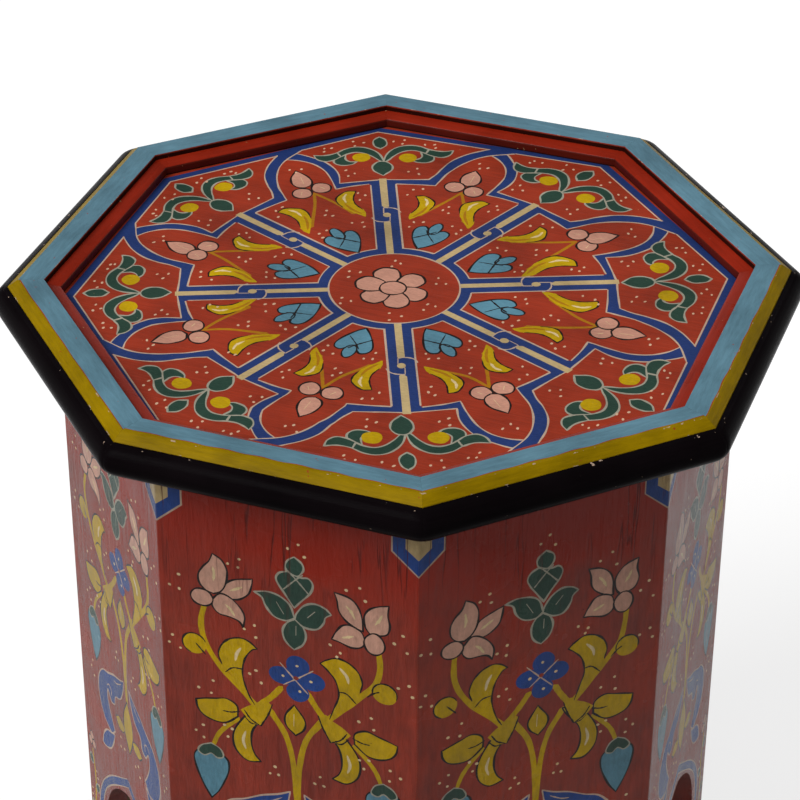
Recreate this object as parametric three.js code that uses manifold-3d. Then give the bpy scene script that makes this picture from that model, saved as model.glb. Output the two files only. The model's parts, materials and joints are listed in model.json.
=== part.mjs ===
// An octagonal painted wooden stool: a framed top on a box of eight arched side panels.
// Millimetres, +Z up. The origin is on the floor, under the middle of the top.
// Each repeated piece is drawn once facing +X and turned about Z to its place.
import * as THREE from "three";
import Module from "manifold-3d";
import { mergeVertices } from "three/addons/utils/BufferGeometryUtils.js";

// Overall sizes
const sideCount = 8;
const stoolHeight = 460;
const jointGap = 0.3;

// Top: board, rim strips, inner beads and edge nosings
const boardAcrossFlats = 380;
const boardThickness = 13;
const fieldDepth = 9.7;
const rimBandWidth = 12.7;
const bevelRun = 5.2;
const bevelDrop = 4;
const beadWidth = 8;
const beadDrop = 3;
const beadFall = 1.6;
const beadNoseRadius = 1.4;
const nosingBulge = 7.7;

// Body: side panels and their arches
const topOverhang = 23;
const panelThickness = 12;
const legWidth = 33;
const impostHeight = 88;
const archSwell = 6;
const archRise = 54;
const horseshoeAngle = THREE.MathUtils.degToRad(18);

// Inside: corner blocks, top cleats and screws
const blockLeg = 18;
const blockDepth = 13;
const blockFloorGap = 5;
const cleatDepth = 20;
const cleatHeight = 20;
const cleatEndGap = 2;
const screwShankRadius = 2;
const screwHeadRadius = 4.2;
const screwHeadHeight = 2.6;
const screwBite = 8;
const screwTipLength = 3;
const cutOverrun = 1;

// How finely round shapes are divided
const roundSegments = 16;
const arcSegments = 12;
const noseSegments = 4;

// Angles of the octagon
const turn = (2 * Math.PI) / sideCount;
const mitreSlope = Math.tan(turn / 2);
const mitreSetback = jointGap / 2 / Math.cos(turn / 2);

// Heights
const fieldHeight = stoolHeight - fieldDepth;
const boardBottom = fieldHeight - boardThickness;
const stripSeat = fieldHeight + jointGap;
const bevelFoot = stoolHeight - bevelDrop;
const panelTop = boardBottom - jointGap;
const cleatBottom = panelTop - cleatHeight;

// Distances from the middle to the flats of the octagon
const boardFlat = boardAcrossFlats / 2;
const bandOuterFlat = boardFlat - bevelRun;
const bandInnerFlat = bandOuterFlat - rimBandWidth;
const panelOuterFlat = boardFlat - topOverhang;
const panelInnerFlat = panelOuterFlat - panelThickness;
const cleatOuterFlat = panelInnerFlat - jointGap;
const screwFlat = cleatOuterFlat - cleatDepth / 2;
const screwHoleRadius = screwShankRadius + jointGap;

// Paints and bare materials
function paint(color, roughness) {
  return new THREE.MeshStandardMaterial({ color, roughness, metalness: 0 });
}

const fieldRed = paint("#963423", 0.45);
const bandBlue = paint("#5a8796", 0.5);
const beadRed = paint("#8f2a1c", 0.35);
const nosingBlack = paint("#141013", 0.25);
const panelRed = paint("#7b2a20", 0.4);
const bareWood = paint("#b08a5c", 0.8);
const steel = new THREE.MeshStandardMaterial({ color: "#8d8a84", roughness: 0.35, metalness: 1 });

// Moves the end vertices of a straight piece onto the mitre planes between two sides.
// Vertices nearer the middle of the side than keepWithin stay where they are.
function mitreEnds(geometry, keepWithin) {
  const position = geometry.attributes.position;
  for (let i = 0; i < position.count; i += 1) {
    const along = position.getY(i);
    if (Math.abs(along) > keepWithin) {
      const end = position.getX(i) * mitreSlope - mitreSetback;
      position.setY(i, Math.sign(along) * end);
    }
  }
  return geometry;
}

// A strip along one side of the octagon, from its cross-section: x is the distance from the middle, y the height.
function mitredStrip(section) {
  const length = boardAcrossFlats * mitreSlope;
  const geometry = new THREE.ExtrudeGeometry(section, {
    depth: length,
    bevelEnabled: false,
    curveSegments: arcSegments,
  });
  geometry.translate(0, 0, -length / 2);
  geometry.rotateX(Math.PI / 2);
  return mitreEnds(geometry, 0);
}

// An upright prism standing on a plan outline
function uprightPrism(plan, bottom, height) {
  const geometry = new THREE.ExtrudeGeometry(plan, {
    depth: height,
    bevelEnabled: false,
    curveSegments: roundSegments,
  });
  geometry.translate(0, 0, bottom);
  return geometry;
}

// Rim strip: flat band on top, bevel down to the nosing outside
function rimStripGeometry() {
  const section = new THREE.Shape();
  section.moveTo(bandInnerFlat, stripSeat);
  section.lineTo(boardFlat, stripSeat);
  section.lineTo(boardFlat, bevelFoot);
  section.lineTo(bandOuterFlat, stoolHeight);
  section.lineTo(bandInnerFlat, stoolHeight);
  section.closePath();
  return mitredStrip(section);
}

// Inner bead: a sloping ledge with a rounded nose, one step below the rim band
function rimBeadGeometry() {
  const outer = bandInnerFlat - jointGap;
  const inner = bandInnerFlat - beadWidth;
  const ledgeTop = stoolHeight - beadDrop;
  const noseTop = ledgeTop - beadFall;
  const section = new THREE.Shape();
  section.moveTo(outer, stripSeat);
  section.lineTo(outer, ledgeTop);
  section.lineTo(inner + beadNoseRadius, noseTop);
  for (let step = 1; step <= noseSegments; step += 1) {
    const angle = Math.PI / 2 + (Math.PI / 2) * (step / noseSegments);
    const x = inner + beadNoseRadius * (1 + Math.cos(angle));
    const y = noseTop - beadNoseRadius * (1 - Math.sin(angle));
    section.lineTo(x, y);
  }
  section.lineTo(inner, stripSeat);
  section.closePath();
  return mitredStrip(section);
}

// Edge nosing: a half-round strip that covers the board's edge up to the foot of the bevel
function edgeNosingGeometry() {
  const back = boardFlat + jointGap;
  const halfHeight = (bevelFoot - boardBottom) / 2;
  const radius = (halfHeight ** 2 + nosingBulge ** 2) / (2 * nosingBulge);
  const centre = back + nosingBulge - radius;
  const spread = Math.atan2(halfHeight, back - centre);
  const section = new THREE.Shape();
  section.absarc(centre, boardBottom + halfHeight, radius, -spread, spread, false);
  section.closePath();
  return mitredStrip(section);
}

// The outline of one panel, seen from outside: width along x, height along y, with an arch open to the floor
function panelOutline() {
  const halfWidth = panelOuterFlat * mitreSlope;
  const halfGap = halfWidth - legWidth;
  const halfSpan = halfGap + archSwell;
  const radius = (archRise ** 2 + halfSpan ** 2) / (2 * halfSpan);
  const springHeight = impostHeight + radius * Math.sin(horseshoeAngle);
  const apexAngle = Math.acos((radius - halfSpan) / radius);
  const outline = new THREE.Shape();
  outline.moveTo(halfWidth, 0);
  outline.lineTo(halfWidth, panelTop);
  outline.lineTo(-halfWidth, panelTop);
  outline.lineTo(-halfWidth, 0);
  outline.lineTo(-halfGap, 0);
  outline.lineTo(-halfGap, impostHeight);
  outline.absarc(radius - halfSpan, springHeight, radius, Math.PI + horseshoeAngle, Math.PI - apexAngle, true);
  outline.absarc(halfSpan - radius, springHeight, radius, apexAngle, -horseshoeAngle, true);
  outline.lineTo(halfGap, impostHeight);
  outline.lineTo(halfGap, 0);
  outline.closePath();
  return { outline, halfSpan };
}

// Side panel: the outline cut from a board and mitred along both upright edges
function sidePanelGeometry() {
  const { outline, halfSpan } = panelOutline();
  const geometry = new THREE.ExtrudeGeometry(outline, {
    depth: panelThickness,
    bevelEnabled: false,
    curveSegments: arcSegments,
  });
  geometry.rotateX(Math.PI / 2);
  geometry.rotateZ(Math.PI / 2);
  geometry.translate(panelInnerFlat, 0, 0);
  return mitreEnds(geometry, halfSpan);
}

// Corner block: fills the inside of one corner joint. It is drawn with the corner on +X.
function cornerBlockGeometry() {
  const faceFlat = panelInnerFlat - jointGap;
  const normalX = Math.cos(turn / 2);
  const normalY = Math.sin(turn / 2);
  const corner = new THREE.Vector2(faceFlat / normalX, 0);
  const legEndX = corner.x - blockLeg * normalY;
  const legEndY = blockLeg * normalX;
  const backX = legEndX - blockDepth * normalX;
  const backY = legEndY - blockDepth * normalY;
  const plan = new THREE.Shape([
    corner,
    new THREE.Vector2(legEndX, legEndY),
    new THREE.Vector2(backX, backY),
    new THREE.Vector2(backX, -backY),
    new THREE.Vector2(legEndX, -legEndY),
  ]);
  return uprightPrism(plan, blockFloorGap, panelTop - blockFloorGap);
}

// Top cleat: a batten between two corner blocks, drilled for its screw
function topCleatGeometry() {
  const halfLength = panelInnerFlat * mitreSlope - blockLeg - cleatEndGap;
  const innerFlat = cleatOuterFlat - cleatDepth;
  const plan = new THREE.Shape([
    new THREE.Vector2(innerFlat, -halfLength),
    new THREE.Vector2(cleatOuterFlat, -halfLength),
    new THREE.Vector2(cleatOuterFlat, halfLength),
    new THREE.Vector2(innerFlat, halfLength),
  ]);
  const hole = new THREE.Path();
  hole.absarc(screwFlat, 0, screwHoleRadius, 0, 2 * Math.PI, true);
  plan.holes.push(hole);
  return uprightPrism(plan, cleatBottom, cleatHeight);
}

// Cleat screw: round head under the cleat, pointed shank up into the board
function cleatScrewGeometry() {
  const headSeat = cleatBottom - jointGap;
  const tip = boardBottom + screwBite;
  const profile = new THREE.Path();
  profile.moveTo(0, headSeat - screwHeadHeight);
  profile.quadraticCurveTo(screwHeadRadius, headSeat - screwHeadHeight, screwHeadRadius, headSeat);
  profile.lineTo(screwShankRadius, headSeat);
  profile.lineTo(screwShankRadius, tip - screwTipLength);
  profile.lineTo(0, tip);
  const geometry = new THREE.LatheGeometry(profile.getPoints(noseSegments), roundSegments);
  geometry.rotateX(Math.PI / 2);
  geometry.translate(screwFlat, 0, 0);
  return geometry;
}

// Turns a closed geometry into a solid for cutting
function toSolid(wasm, geometry) {
  const bare = geometry.clone();
  bare.deleteAttribute("normal");
  bare.deleteAttribute("uv");
  const merged = mergeVertices(bare);
  const mesh = new wasm.Mesh({
    numProp: 3,
    vertProperties: new Float32Array(merged.attributes.position.array),
    triVerts: new Uint32Array(merged.index.array),
  });
  return new wasm.Manifold(mesh);
}

// Turns a solid back into a geometry
function toGeometry(solid) {
  const mesh = solid.getMesh();
  const geometry = new THREE.BufferGeometry();
  geometry.setAttribute("position", new THREE.BufferAttribute(mesh.vertProperties, 3));
  geometry.setIndex(new THREE.BufferAttribute(mesh.triVerts, 1));
  geometry.computeVertexNormals();
  return geometry;
}

// Top board: an octagon with one blind screw hole over each cleat
function topBoardGeometry(wasm) {
  const corners = [];
  for (let side = 0; side < sideCount; side += 1) {
    const angle = (side + 1 / 2) * turn;
    const reach = boardFlat / Math.cos(turn / 2);
    corners.push(new THREE.Vector2(reach * Math.cos(angle), reach * Math.sin(angle)));
  }
  let solid = toSolid(wasm, uprightPrism(new THREE.Shape(corners), boardBottom, boardThickness));
  for (let side = 0; side < sideCount; side += 1) {
    const depth = screwBite + jointGap + cutOverrun;
    const drill = new THREE.CylinderGeometry(screwHoleRadius, screwHoleRadius, depth, roundSegments);
    drill.rotateX(Math.PI / 2);
    drill.translate(screwFlat, 0, boardBottom - cutOverrun + depth / 2);
    drill.rotateZ(side * turn);
    solid = solid.subtract(toSolid(wasm, drill));
  }
  return toGeometry(solid);
}

// Adds one copy of a piece for each side, turned to its place
function addRound(stool, name, geometry, material, firstTurn) {
  for (let side = 0; side < sideCount; side += 1) {
    const mesh = new THREE.Mesh(geometry, material);
    mesh.name = `${name}_${side + 1}`;
    mesh.rotation.z = (side + firstTurn) * turn;
    stool.add(mesh);
  }
}

const wasm = await Module();
wasm.setup();

const stool = new THREE.Group();
const board = new THREE.Mesh(topBoardGeometry(wasm), fieldRed);
board.name = "top_board";
stool.add(board);
addRound(stool, "rim_strip", rimStripGeometry(), bandBlue, 0);
addRound(stool, "rim_bead", rimBeadGeometry(), beadRed, 0);
addRound(stool, "edge_nosing", edgeNosingGeometry(), nosingBlack, 0);
addRound(stool, "side_panel", sidePanelGeometry(), panelRed, 0);
addRound(stool, "corner_block", cornerBlockGeometry(), bareWood, 1 / 2);
addRound(stool, "top_cleat", topCleatGeometry(), bareWood, 0);
addRound(stool, "cleat_screw", cleatScrewGeometry(), steel, 0);

export default stool;
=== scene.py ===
"""An octagonal painted wooden stool: its looks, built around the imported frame.

Lengths in the painting are millimetres. Blender objects are in metres, in the frame of the part.
"""
import json
import math
import random
from copy import copy

import bmesh
import bpy
import numpy as np
from mathutils import Matrix, Vector
from mathutils.geometry import delaunay_2d_cdt

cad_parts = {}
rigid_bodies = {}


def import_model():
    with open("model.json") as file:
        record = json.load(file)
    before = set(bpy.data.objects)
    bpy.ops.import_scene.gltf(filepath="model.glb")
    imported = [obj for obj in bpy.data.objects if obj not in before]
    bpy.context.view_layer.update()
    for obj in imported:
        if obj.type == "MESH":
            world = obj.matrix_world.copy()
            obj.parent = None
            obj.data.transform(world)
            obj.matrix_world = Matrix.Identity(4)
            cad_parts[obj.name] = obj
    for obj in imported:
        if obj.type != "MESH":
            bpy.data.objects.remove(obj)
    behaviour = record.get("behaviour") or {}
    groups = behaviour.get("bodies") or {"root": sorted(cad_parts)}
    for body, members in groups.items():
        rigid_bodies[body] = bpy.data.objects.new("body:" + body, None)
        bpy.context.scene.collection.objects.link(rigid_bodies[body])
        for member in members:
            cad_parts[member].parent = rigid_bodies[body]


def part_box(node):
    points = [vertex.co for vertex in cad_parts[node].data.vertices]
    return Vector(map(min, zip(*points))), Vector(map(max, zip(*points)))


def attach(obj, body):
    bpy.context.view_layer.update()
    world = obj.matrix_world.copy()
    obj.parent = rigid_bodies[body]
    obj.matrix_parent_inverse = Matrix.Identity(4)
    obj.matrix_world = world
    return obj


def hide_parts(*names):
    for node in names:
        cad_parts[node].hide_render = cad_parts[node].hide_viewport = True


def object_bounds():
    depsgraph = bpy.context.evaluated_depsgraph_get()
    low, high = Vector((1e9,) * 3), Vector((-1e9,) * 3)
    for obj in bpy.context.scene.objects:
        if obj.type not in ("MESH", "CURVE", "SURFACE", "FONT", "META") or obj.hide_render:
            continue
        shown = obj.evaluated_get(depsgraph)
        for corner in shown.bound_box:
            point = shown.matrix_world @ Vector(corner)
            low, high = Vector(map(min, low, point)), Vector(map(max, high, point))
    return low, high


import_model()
cad_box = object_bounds()

mm = 0.001
side_count = 8
turn = 2 * math.pi / side_count
mitre_slope = math.tan(turn / 2)

# Sizes read from the frame, in millimetres
_, board_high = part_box("top_board")
strip_low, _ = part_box("rim_strip_1")
bead_low, bead_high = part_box("rim_bead_1")
nosing_low, nosing_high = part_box("edge_nosing_1")
panel_low, panel_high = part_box("side_panel_1")
stool_height = cad_box[1][2] / mm
field_height = board_high[2] / mm
board_flat = board_high[0] / mm
band_inner_flat = strip_low[0] / mm
strip_seat = strip_low[2] / mm
bead_inner_flat = bead_low[0] / mm
bead_outer_flat = bead_high[0] / mm
nosing_back_flat = nosing_low[0] / mm
nosing_front_flat = nosing_high[0] / mm
nosing_bottom = nosing_low[2] / mm
nosing_top = nosing_high[2] / mm
panel_outer_flat = panel_high[0] / mm
panel_inner_flat = panel_low[0] / mm
panel_top = panel_high[2] / mm

# Paints, as they look in plain light
paints = {
    "red": "#90301b",
    "deep_red": "#843021",
    "blue": "#223568",
    "bright_blue": "#1f3d7b",
    "cream": "#b39c70",
    "pale": "#b29a86",
    "leaf_line": "#969282",
    "pink": "#bb8773",
    "dusty_pink": "#bf917d",
    "yellow": "#b19002",
    "ochre": "#a06c0c",
    "shine": "#d0b98c",
    "drop_white": "#c7a387",
    "green": "#274035",
    "sky": "#547f90",
    "black": "#1b1210",
    "rim_blue": "#587b8a",
    "mustard": "#866c00",
    "nosing_black": "#0c080a",
    # The next paint is painted shade on the rim's inner wall and at the bead's foot, and also the dirt that
    # shows in worn specks on panels
    "grime": "#2b0d08",
    # The next paint is painted shade: the panel's red, deeper and more saturated under the overhanging rim
    "fresh_red": "#8e210d",
    "crack_red": "#4a0f08",
    "bead_red": "#84200e",
    "bead_shade": "#4e130a",
}


# Smooth lines through given points: their step, and how near two points count as one

line_step = 1.1
merged_within = 0.004


def through(points):
    """A smooth curve through the points."""
    p = np.array(points, float)
    p = np.vstack([2 * p[0] - p[1], p, 2 * p[-1] - p[-2]])
    parts = []
    for a, b, c, d in zip(p, p[1:], p[2:], p[3:]):
        count = max(2, math.ceil(np.linalg.norm(c - b) / line_step))
        t = np.arange(count)[:, None] / count
        square = 2 * a - 5 * b + 4 * c - d
        cube = 3 * b - a - 3 * c + d
        parts.append((2 * b + (c - a) * t + square * t**2 + cube * t**3) / 2)
    parts.append(p[-2:-1])
    return np.vstack(parts)


def outline(*runs):
    """A closed outline of smooth runs that meet at corners. Each run goes on from the last one's end."""
    start = runs[-1][-1]
    parts = []
    for run in runs:
        parts.append(through((start, *run))[:-1])
        start = run[-1]
    return np.vstack(parts)


def leaning_grid(degrees):
    """What points are multiplied by to turn them anticlockwise."""
    a = math.radians(degrees)
    return np.array([[math.cos(a), math.sin(a)], [-math.sin(a), math.cos(a)]])


def oval(x, y, across, along, lean=0.0):
    """A closed oval round (x, y), leaning by so many degrees."""
    count = max(7, math.ceil(math.pi * (across + along) / line_step))
    angle = np.arange(count) * 2 * math.pi / count
    flat = np.stack([across * np.cos(angle), along * np.sin(angle)], 1)
    return flat @ leaning_grid(lean) + (x, y)


def octagon(flat, start=turn / 2):
    """The corners of an octagon with this distance to its sides, the first in the start direction."""
    angle = np.arange(side_count) * turn + start
    return flat / math.cos(turn / 2) * np.stack([np.cos(angle), np.sin(angle)], 1)


# Placings: what puts a motif in its place

def mirrored(side, lift=0.0):
    """Mirrors points in the upright axis for side -1 but not for side 1, and lifts them."""
    return lambda points: np.array(points, float) * (side, 1) + (0, lift)


def by(shift):
    """Moves points by the shift."""
    return lambda points: points + shift


# How a brush strays: width of a thin line, unevenness of thin and broad lines, and stray and lean of drops
thin_line = 1.6
thin_uneven = 0.18
broad_uneven = 0.04
drop_stray = 0.6
drop_lean = 35


class Sheet:
    """Collects painted layers, the last on top.

    A layer is its paint, its outline or path, the half widths along a path, and the loops that it cuts.
    """
    def __init__(self, place, seed, drop, drop_paint):
        self.place = place
        self.hand = mirrored(1)
        self.layers = []
        self.drop = drop
        self.drop_paint = drop_paint
        self.dice = random.Random(seed)

    def moved(self, place):
        """The same sheet, painted through a further placing."""
        other = copy(self)
        other.place = lambda points: self.place(place(points))
        return other

    def drawn(self, hand):
        """The same sheet, with each motif placed by this before its edge wavers."""
        other = copy(self)
        other.hand = hand
        return other

    def wobble(self, points, most):
        """The outline with a slow seeded waver, as a brush leaves it."""
        turns = np.arange(len(points)) / len(points) * 2 * math.pi
        out = np.array(points, float)
        for wave in (2, 3, 5):
            for axis in (0, 1):
                swing = most / wave * self.dice.uniform(-1, 1)
                out[:, axis] += swing * np.sin(wave * turns + self.dice.uniform(0, 7))
        return out

    def lay(self, paint, shape, lined=False):
        shape = self.place(shape)
        self.layers.append((paint, shape, None, [] if lined else [shape]))

    def brush(self, paint, path, width, closed, taper):
        count = len(path)
        share = np.linspace(0, 1, count)
        body = np.sin(np.pi * share) ** 0.5
        ends = taper[0] * (1 - share) + taper[1] * share
        half = width / 2 * (np.ones(count) if closed else ends + (1 - ends) * body)
        uneven = thin_uneven if width < thin_line else broad_uneven
        for wave in (2, 5):
            half *= 1 + uneven * np.sin(2 * np.pi * (wave * share + self.dice.random()))
        around = np.vstack([path[-1:], path, path[:1]] if closed else [path[:1], path, path[-1:]])
        along = around[2:] - around[:-2]
        along /= np.maximum(np.linalg.norm(along, axis=1), 1e-9)[:, None]
        across = np.stack([-along[:, 1], along[:, 0]], 1) * half[:, None]
        left, right = path + across, path - across
        if closed:
            loops = [self.place(left), self.place(right)]
            path, half = np.vstack([path, path[:1]]), np.append(half, half[0])
        else:
            nose = path[-1] + along[-1] * half[-1]
            tail = path[0] - along[0] * half[0]
            loops = [self.place(np.vstack([left, nose, right[::-1], tail]))]
        self.layers.append((paint, self.place(path), half, loops))

    def fill(self, paint, shape, lined=False, waver=0.0):
        """A filled outline. A lined one has its edge under a line, so it needs no edge of its own."""
        shape = self.hand(shape)
        self.lay(paint, self.wobble(shape, waver) if waver else shape, lined)

    def line(self, paint, path, width, taper=(1.0, 1.0), closed=False):
        """A brush line along the path, thinner or thicker towards its ends."""
        self.brush(paint, self.hand(path), width, closed, taper)

    def curve(self, paint, points, width, taper=(1.0, 1.0)):
        """A brush line along a smooth curve through the points."""
        self.line(paint, through(points), width, taper)

    def lined(self, paint, shape, edge="black", width=1.0, waver=0.25):
        """A filled outline with a brush line round it that strays a little from the fill."""
        shape = self.wobble(self.hand(shape), waver)
        self.lay(paint, shape)
        self.brush(edge, self.wobble(shape, waver), width, True, (1.0, 1.0))

    def dots(self, *places):
        """Small drops of thick paint."""
        for place in places:
            x, y = self.place(self.hand([place]))[0]
            x += self.dice.uniform(-drop_stray, drop_stray)
            y += self.dice.uniform(-drop_stray, drop_stray)
            across, along = (size * self.dice.uniform(0.85, 1.15) for size in self.drop)
            drop = oval(x, y, across, along, self.dice.uniform(-drop_lean, drop_lean))
            self.layers.append((self.drop_paint, drop, None, [drop]))


def inside(shape, points):
    """Which points lie inside the closed outline."""
    x, y = points[:, 0], points[:, 1]
    hit = np.zeros(len(points), bool)
    for (x0, y0), (x1, y1) in zip(shape, np.roll(shape, -1, axis=0)):
        if y0 != y1:
            crosses = (y0 > y) != (y1 > y)
            hit ^= crosses & (x < (x1 - x0) * (y - y0) / (y1 - y0) + x0)
    return hit


def under_line(path, half, points):
    """Which points a brush line covers."""
    hit = np.zeros(len(points), bool)
    for a, b, ha, hb in zip(path, path[1:], half, half[1:]):
        run = b - a
        share = np.clip((points - a) @ run / max(run @ run, 1e-12), 0, 1)
        gap = np.linalg.norm(points - a - share[:, None] * run, axis=1)
        hit |= gap <= ha + (hb - ha) * share
    return hit


def divide(boundary, layers, ground, bends=()):
    """Cuts the face inside the boundary into triangles, each of one paint.

    Returns the points, the triangles and the name of each triangle's paint.
    """
    points, edges = [], []

    def add(path, closed=True):
        first = len(points)
        points.extend(Vector((float(x), float(y))) for x, y in path)
        last = len(points) - 1
        edges.extend((i, i + 1) for i in range(first, last))
        if closed:
            edges.append((last, first))

    add(boundary)
    for bend in bends:
        add(bend, closed=False)
    for *_, loops in layers:
        for loop in loops:
            add(loop)
    cut = delaunay_2d_cdt(points, edges, [], 0, merged_within, False)
    spots = np.array([tuple(v) for v in cut[0]])
    corners = np.array([tuple(f) for f in cut[2]])
    centres = spots[corners].mean(axis=1)
    kept = inside(boundary, centres)
    corners, centres = corners[kept], centres[kept]
    names = np.full(len(corners), ground, dtype=object)
    free = np.ones(len(corners), bool)
    for paint, shape, half, _ in reversed(layers):
        margin = 0 if half is None else half.max()
        low, high = shape.min(axis=0) - margin, shape.max(axis=0) + margin
        near = np.flatnonzero(free & np.all((centres >= low) & (centres <= high), axis=1))
        if len(near):
            hit = inside(shape, centres[near]) if half is None else under_line(shape, half, centres[near])
            names[near[hit]] = paint
            free[near[hit]] = False
    used, corners = np.unique(corners, return_inverse=True)
    return spots[used], corners.reshape(-1, 3), names


# Motifs of the field: y goes away from the middle, and x to the right

def field_frame(degrees):
    """Placing for a motif whose middle line points this way."""
    a = math.radians(degrees)
    grid = np.array([[math.sin(a), -math.cos(a)], [math.cos(a), math.sin(a)]])
    return lambda points: points @ grid


def matched(shape, here, there):
    """The shape turned and scaled so that its two marks fall on two others."""
    (a, b), (c, d) = np.array(here, float), np.array(there, float)
    z = complex(*(d - c)) / complex(*(b - a))
    grid = np.array([[z.real, z.imag], [-z.imag, z.real]])
    return (np.array(shape) - a) @ grid + c


def placed_by_hand(points):
    """Where the painter's drawing lies on the board: a little turned, off centre and drawn out."""
    x, y = points[:, 0], points[:, 1]
    depth = 1 + (-0.01524 * x + 0.0071 * y) / 100
    across = 0.92076 * x - 0.39583 * y - 3.819
    along = 0.39485 * x + 0.93217 * y - 1.351
    return np.stack([across / depth, along / depth], 1)


# Sizes of the bands that run out from the middle, of its ring, of pale lines and of the blue border
spoke_half = 7.1
spoke_start = 36.0
spoke_end = 109.4
spoke_roof = 115.6
ring_outer = 40.2
ring_inner = 34.8
pale_width = 0.85
border_outer = 163.6
border_inner = 159.2
border_line = 158.5
# Where along a motif the bands begin to lean and to rise, and over what length
lean_from, lean_over = 112, 18
lift_from, lift_over = 125, 30


# The flower's heart, the middles of its petals, one petal with its middle at (0, 13.5), and the dots round it
heart = (-0.5, -0.2)
petal_middles = ((-3, 13), (10, 6.5), (10, -7), (0.4, -13), (-10.8, -7.6), (-12.8, 4.8))
disc_petal = outline(
    [(4.7, 6)],
    [(6.5, 10), (7.2, 14), (5.8, 18.4), (0, 20.9), (-5.8, 18.4), (-7.2, 14), (-6.5, 10), (-4.7, 6)],
)
disc_dots = (
    ((2.3, 27.6), (5.2, 23.5), (0, 21.6)),
    ((-22.9, 17.3), (-16.5, 16.5), (-23.1, 12.3)),
    ((23.8, 9), (22.6, 2.8), (27.8, 2.2)),
    ((-27.6, -8.4), (-28.5, -14.2), (-23.4, -12.3)),
    ((16.2, -16.7), (19.7, -19.5), (14.6, -22.1)),
    ((-3.3, -24.8), (2, -28.3), (-4.4, -31.2)),
)


def paint_disc(sheet):
    """The round middle with its six-petalled flower."""
    edge = oval(0, 0, ring_inner - 0.3, ring_inner - 0.3)
    sheet.fill("red", edge, lined=True)
    sheet.line("pale", edge, pale_width, closed=True)
    for middle in petal_middles:
        petal = matched(disc_petal, ((0, 0), (0, 13.5)), (heart, middle))
        sheet.fill("black", (petal - heart) * 1.04 + heart)
        sheet.lined("pink", petal)
    sheet.lined("pink", oval(*heart, 7.1, 6.6))
    for group in disc_dots:
        sheet.dots(*group)


def paint_spoke(sheet, knot):
    """A blue band with a cream strip, crossed by a knot, from the ring to the bar."""
    eave = spoke_roof - 2.2
    foot = [(-spoke_half, spoke_start), (spoke_half, spoke_start)]
    sheet.fill("blue", [*foot, (spoke_half, eave), (0, spoke_roof), (-spoke_half, eave)])
    for side in (-spoke_half, spoke_half):
        sheet.line("pale", [(side, spoke_start + 4), (side, spoke_end)], pale_width)
    sheet.fill("cream", outline([(-1, knot - 7.5), (1, knot - 6.5), (1.9, knot - 8)],
                                [(1.9, 34)], [(-1.9, 34)], [(-1.9, knot - 8)]))
    sheet.fill("cream", outline([(0, knot + 7.6), (1.9, knot + 9)],
                                [(2.1, 116.6)], [(-2.1, 116.6)], [(-2, knot + 10)]))
    upper_loop = [(-0.9, knot + 8), (3.5, knot + 7.4), (6.4, knot + 5.6), (8, knot + 2.5)]
    lower_loop = [(1, knot - 7.4), (-3.5, knot - 7.2), (-6.6, knot - 5.6), (-8, knot - 2.6)]
    sheet.curve("pale", upper_loop, pale_width)
    sheet.curve("pale", lower_loop, pale_width)
    sheet.line("pale", [(-1.2, knot + 7.5), (-1.4, knot + 2)], 0.6)
    sheet.line("pale", [(1.9, knot - 2), (1.6, knot - 7)], 0.6)
    sheet.fill("cream", oval(0.3, knot, 2.2, 2.4))


def paint_band(sheet, lean, lift):
    """The blue bands that frame one lobe, from bar to border. The left one crosses over the right one."""
    def leaning(points):
        out = np.array(points, float)
        out[:, 0] += lean * np.clip((out[:, 1] - lean_from) / lean_over, 0, 1)
        out[:, 1] += lift * np.clip((out[:, 1] - lift_from) / lift_over, 0, 1)
        return out

    def edge(low, rise):
        return leaning(np.vstack([through(low)[:-1], through((low[-1], *rise))]))

    outer = edge([(45.5, 106.3), (33, 110), (20.5, 113.5)],
                 [(23.5, 122), (24, 130), (22.5, 139), (19, 146), (13, 154.5), (8, 158.5)])
    inner = edge([(35, 105.5), (25, 107.6), (16, 108.5)],
                 [(17.5, 118), (18, 130), (15.5, 140), (10, 147.5), (3, 152.5)])
    sheet.fill("blue", np.vstack([outer, inner[::-1]]), lined=True)
    sheet.line("pale", outer, pale_width)
    sheet.line("pale", inner, pale_width)
    outer = edge([(-45.5, 106.3), (-33, 110.3), (-20, 115)],
                 [(-18.5, 122), (-18, 130), (-15.5, 140), (-10, 149), (-3, 156), (2, 160)])
    inner = edge([(-35, 104.5), (-24, 107.4), (-14, 109.5)],
                 [(-13.6, 115), (-13, 125), (-10, 135), (-5, 144), (0, 149.5), (5, 153), (11, 156),
                  (15, 158)])
    top = leaning([(8, 162), (17, 160.5)])
    sheet.fill("blue", np.vstack([outer, top, inner[::-1]]))
    sheet.line("pale", outer[:-2], pale_width)
    sheet.line("pale", inner, pale_width)


def paint_border(sheet):
    """The blue border with its cream line, inside the bead."""
    sheet.fill("blue", octagon(border_outer, 0))
    sheet.fill("red", octagon(border_inner, 0), lined=True)
    sheet.line("pale", octagon(border_line, 0), 0.95, closed=True)


crescent = outline(
    [(15, 95.5), (9, 91), (8, 86), (10.5, 79), (18, 69)],
    [(18.8, 75), (16.5, 82), (17, 88), (20, 94.5)],
)


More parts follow.
